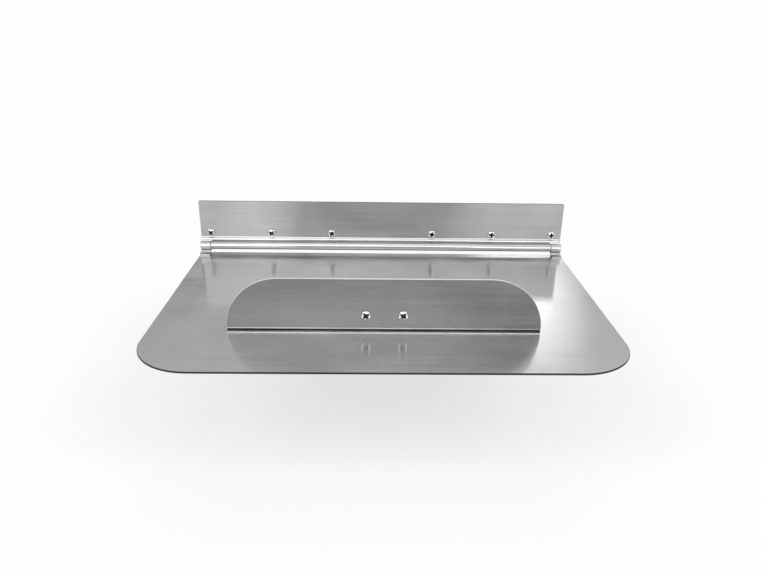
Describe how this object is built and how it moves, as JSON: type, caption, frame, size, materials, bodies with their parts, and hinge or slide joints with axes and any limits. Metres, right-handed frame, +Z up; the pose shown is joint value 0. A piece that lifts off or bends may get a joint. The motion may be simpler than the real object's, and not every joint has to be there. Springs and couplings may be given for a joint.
{
  "type": "boat trim tab",
  "caption": "Stainless boat trim tab: flat plane with rounded trailing corners, full-width rolled hinge to a transom leaf with pan-head screws, and an upright actuator bracket.",
  "frame": {"origin": "middle of the row of transom screws, on the leaf's face that seats on the transom", "axes": "+X across the boat to starboard, +Y forward into the transom, +Z up; the plane reaches aft along -Y"},
  "size_m": [0.4572, 0.3398, 0.0679],
  "materials": {
    "plane_sheet": "stainless sheet, fine brushed with a soft mirror",
    "hinge_sheet": "stainless sheet, fine brushed along the hinge",
    "bracket_sheet": "stainless sheet, fine brushed along its length",
    "pin_steel": "drawn stainless rod",
    "screw_steel": "bright cold-headed stainless"
  },
  "bodies": {
    "transom_side": {"transom_leaf": "hinge_sheet", "transom_screw_1": "screw_steel", "transom_screw_2": "screw_steel", "transom_screw_3": "screw_steel", "transom_screw_4": "screw_steel", "transom_screw_5": "screw_steel", "transom_screw_6": "screw_steel"},
    "plane_side": {"trim_plane": "plane_sheet", "hinge_knuckle_port": "hinge_sheet", "hinge_knuckle_starboard": "hinge_sheet", "hinge_pin": "pin_steel", "actuator_bracket": "bracket_sheet", "bracket_screw_port": "screw_steel", "bracket_screw_starboard": "screw_steel"}
  },
  "joints": [
    {"name": "plane_hinge", "type": "hinge", "parent": "transom_side", "child": "plane_side", "pos_m": [0, -0.00713, -0.0152], "axis": [1, 0, 0], "range_deg": [-75, 25]}
  ]
}
